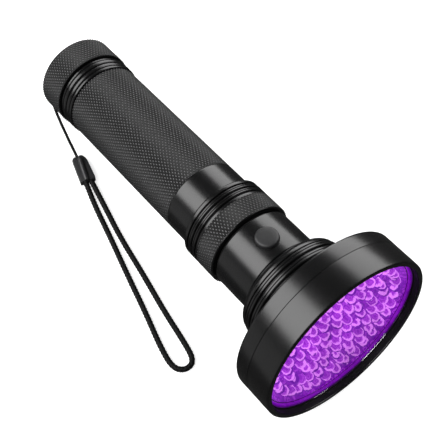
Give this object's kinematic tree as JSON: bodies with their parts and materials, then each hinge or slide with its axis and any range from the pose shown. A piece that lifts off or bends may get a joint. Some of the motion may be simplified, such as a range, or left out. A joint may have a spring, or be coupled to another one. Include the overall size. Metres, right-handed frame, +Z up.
{
  "type": "handheld ultraviolet bill detector torch",
  "caption": "Black knurled hand torch with a wide round ultraviolet lamp head, a side push button, a screw tail cap and a wrist strap; its violet light shows up counterfeit bills.",
  "frame": {"origin": "on the surface under the middle of the torch, which lies on its side and rests on the tail cap's rim and the lamp head's rear rim", "axes": "+X towards the lamp head along the surface, +Z up through the push button, +Y to the torch's left seen from its tail; the torch's own axis rises 6.90 degrees towards the head"},
  "size_m": [0.2404, 0.112, 0.0998],
  "materials": {
    "black_anodised": "black anodised, satin, fine diamond knurl on the grip, the collar and the tail cap",
    "black_seal": "black nitrile rubber, matt",
    "grey_rubber": "dark grey moulded rubber, matt",
    "contact_brass": "plain brass",
    "bright_steel": "bright spring wire and small screws",
    "board_green": "green printed board",
    "black_plastic": "black moulded plastic",
    "white_plastic": "white moulded plastic",
    "red_insulation": "red insulation",
    "black_insulation": "black insulation",
    "cell_case": "plain coloured sleeve of a dry cell, with a bare metal nub",
    "violet_lamp": "clear round lamp that glows violet",
    "violet_plate": "bright plate lit violet by the lamps",
    "clear_lens": "clear flat glass",
    "strap_plastic": "black moulded plastic",
    "strap_braid": "black braided cord"
  },
  "bodies": {
    "torch": {"body_tube": "black_anodised", "tail_cap_seal": "black_seal", "neck_seal": "black_seal", "switch_housing": "black_anodised", "contact_board": "board_green", "contact_board_ring": "bright_steel", "front_contact_plate": "contact_brass", "front_spring": "bright_steel", "switch_carrier": "black_plastic", "switch_board": "board_green", "switch_body": "black_plastic", "rear_red_wire": "red_insulation", "rear_black_wire": "black_insulation", "front_red_wire": "red_insulation", "front_black_wire": "black_insulation", "head_shell": "black_anodised", "led_board": "board_green", "led_board_screws": "bright_steel", "ballast_resistors": "black_plastic", "leds": "violet_lamp", "reflector_plate": "violet_plate", "lens_gasket": "black_seal", "bezel_seal": "black_seal"},
    "button": {"button_cap": "grey_rubber", "switch_plunger": "white_plastic"},
    "spring_carriage": {"tail_spring": "bright_steel"},
    "contact_carriage": {"tail_contact_cup": "contact_brass"},
    "tail_cap": {"tail_cap": "black_anodised", "strap_knot": "strap_braid", "strap_string": "strap_braid", "strap_connector": "strap_plastic", "strap_cord": "strap_braid"},
    "cell_cartridge": {"cartridge_tail_contact": "contact_brass", "cartridge_front_contact": "contact_brass", "cell_plates": "contact_brass", "cell_springs": "bright_steel", "cartridge_screws": "bright_steel", "cartridge_tail_disc": "black_plastic", "cartridge_middle_disc": "black_plastic", "cartridge_front_disc": "black_plastic", "cartridge_spine": "black_plastic", "cartridge_posts": "black_plastic", "battery_1": "cell_case", "battery_2": "cell_case", "battery_3": "cell_case", "battery_4": "cell_case", "battery_5": "cell_case", "battery_6": "cell_case"},
    "lens_carriage": {"lens": "clear_lens"},
    "bezel": {"bezel_ring": "black_anodised"}
  },
  "joints": [
    {"name": "button_press", "type": "slide", "parent": "torch", "child": "button", "axis": [0.1202, 0, -0.9928], "range_m": [0, 0.0015], "stiffness_N_per_m": 1500, "springref_m": -0.0005},
    {"name": "cap_pull", "type": "slide", "parent": "torch", "child": "spring_carriage", "axis": [-0.9928, 0, -0.1202], "range_m": [0, 0.24]},
    {"name": "cap_unscrew_travel", "type": "slide", "parent": "spring_carriage", "child": "contact_carriage", "axis": [-0.9928, 0, -0.1202], "range_m": [0, 0.01]},
    {"name": "cap_turn", "type": "hinge", "parent": "contact_carriage", "child": "tail_cap", "pos_m": [-0.11749, 0, 0.02319], "axis": [-0.9928, 0, -0.1202], "range_deg": [0, 1440]},
    {"name": "cartridge_slide", "type": "slide", "parent": "torch", "child": "cell_cartridge", "axis": [-0.9928, 0, -0.1202], "range_m": [0, 0.12]},
    {"name": "bezel_unscrew_travel", "type": "slide", "parent": "torch", "child": "lens_carriage", "axis": [0.9928, 0, 0.1202], "range_m": [0, 0.0075]},
    {"name": "bezel_turn", "type": "hinge", "parent": "lens_carriage", "child": "bezel", "pos_m": [0.10688, 0, 0.05035], "axis": [0.9928, 0, 0.1202], "range_deg": [0, 1800]}
  ],
  "couplings": [
    {"joint": "cap_unscrew_travel", "follows": "cap_turn", "m_per_rad": 0.00039788},
    {"joint": "bezel_unscrew_travel", "follows": "bezel_turn", "m_per_rad": 0.00023873},
    {"joint": "cartridge_slide", "follows": "cap_pull", "ratio": 0.5}
  ]
}
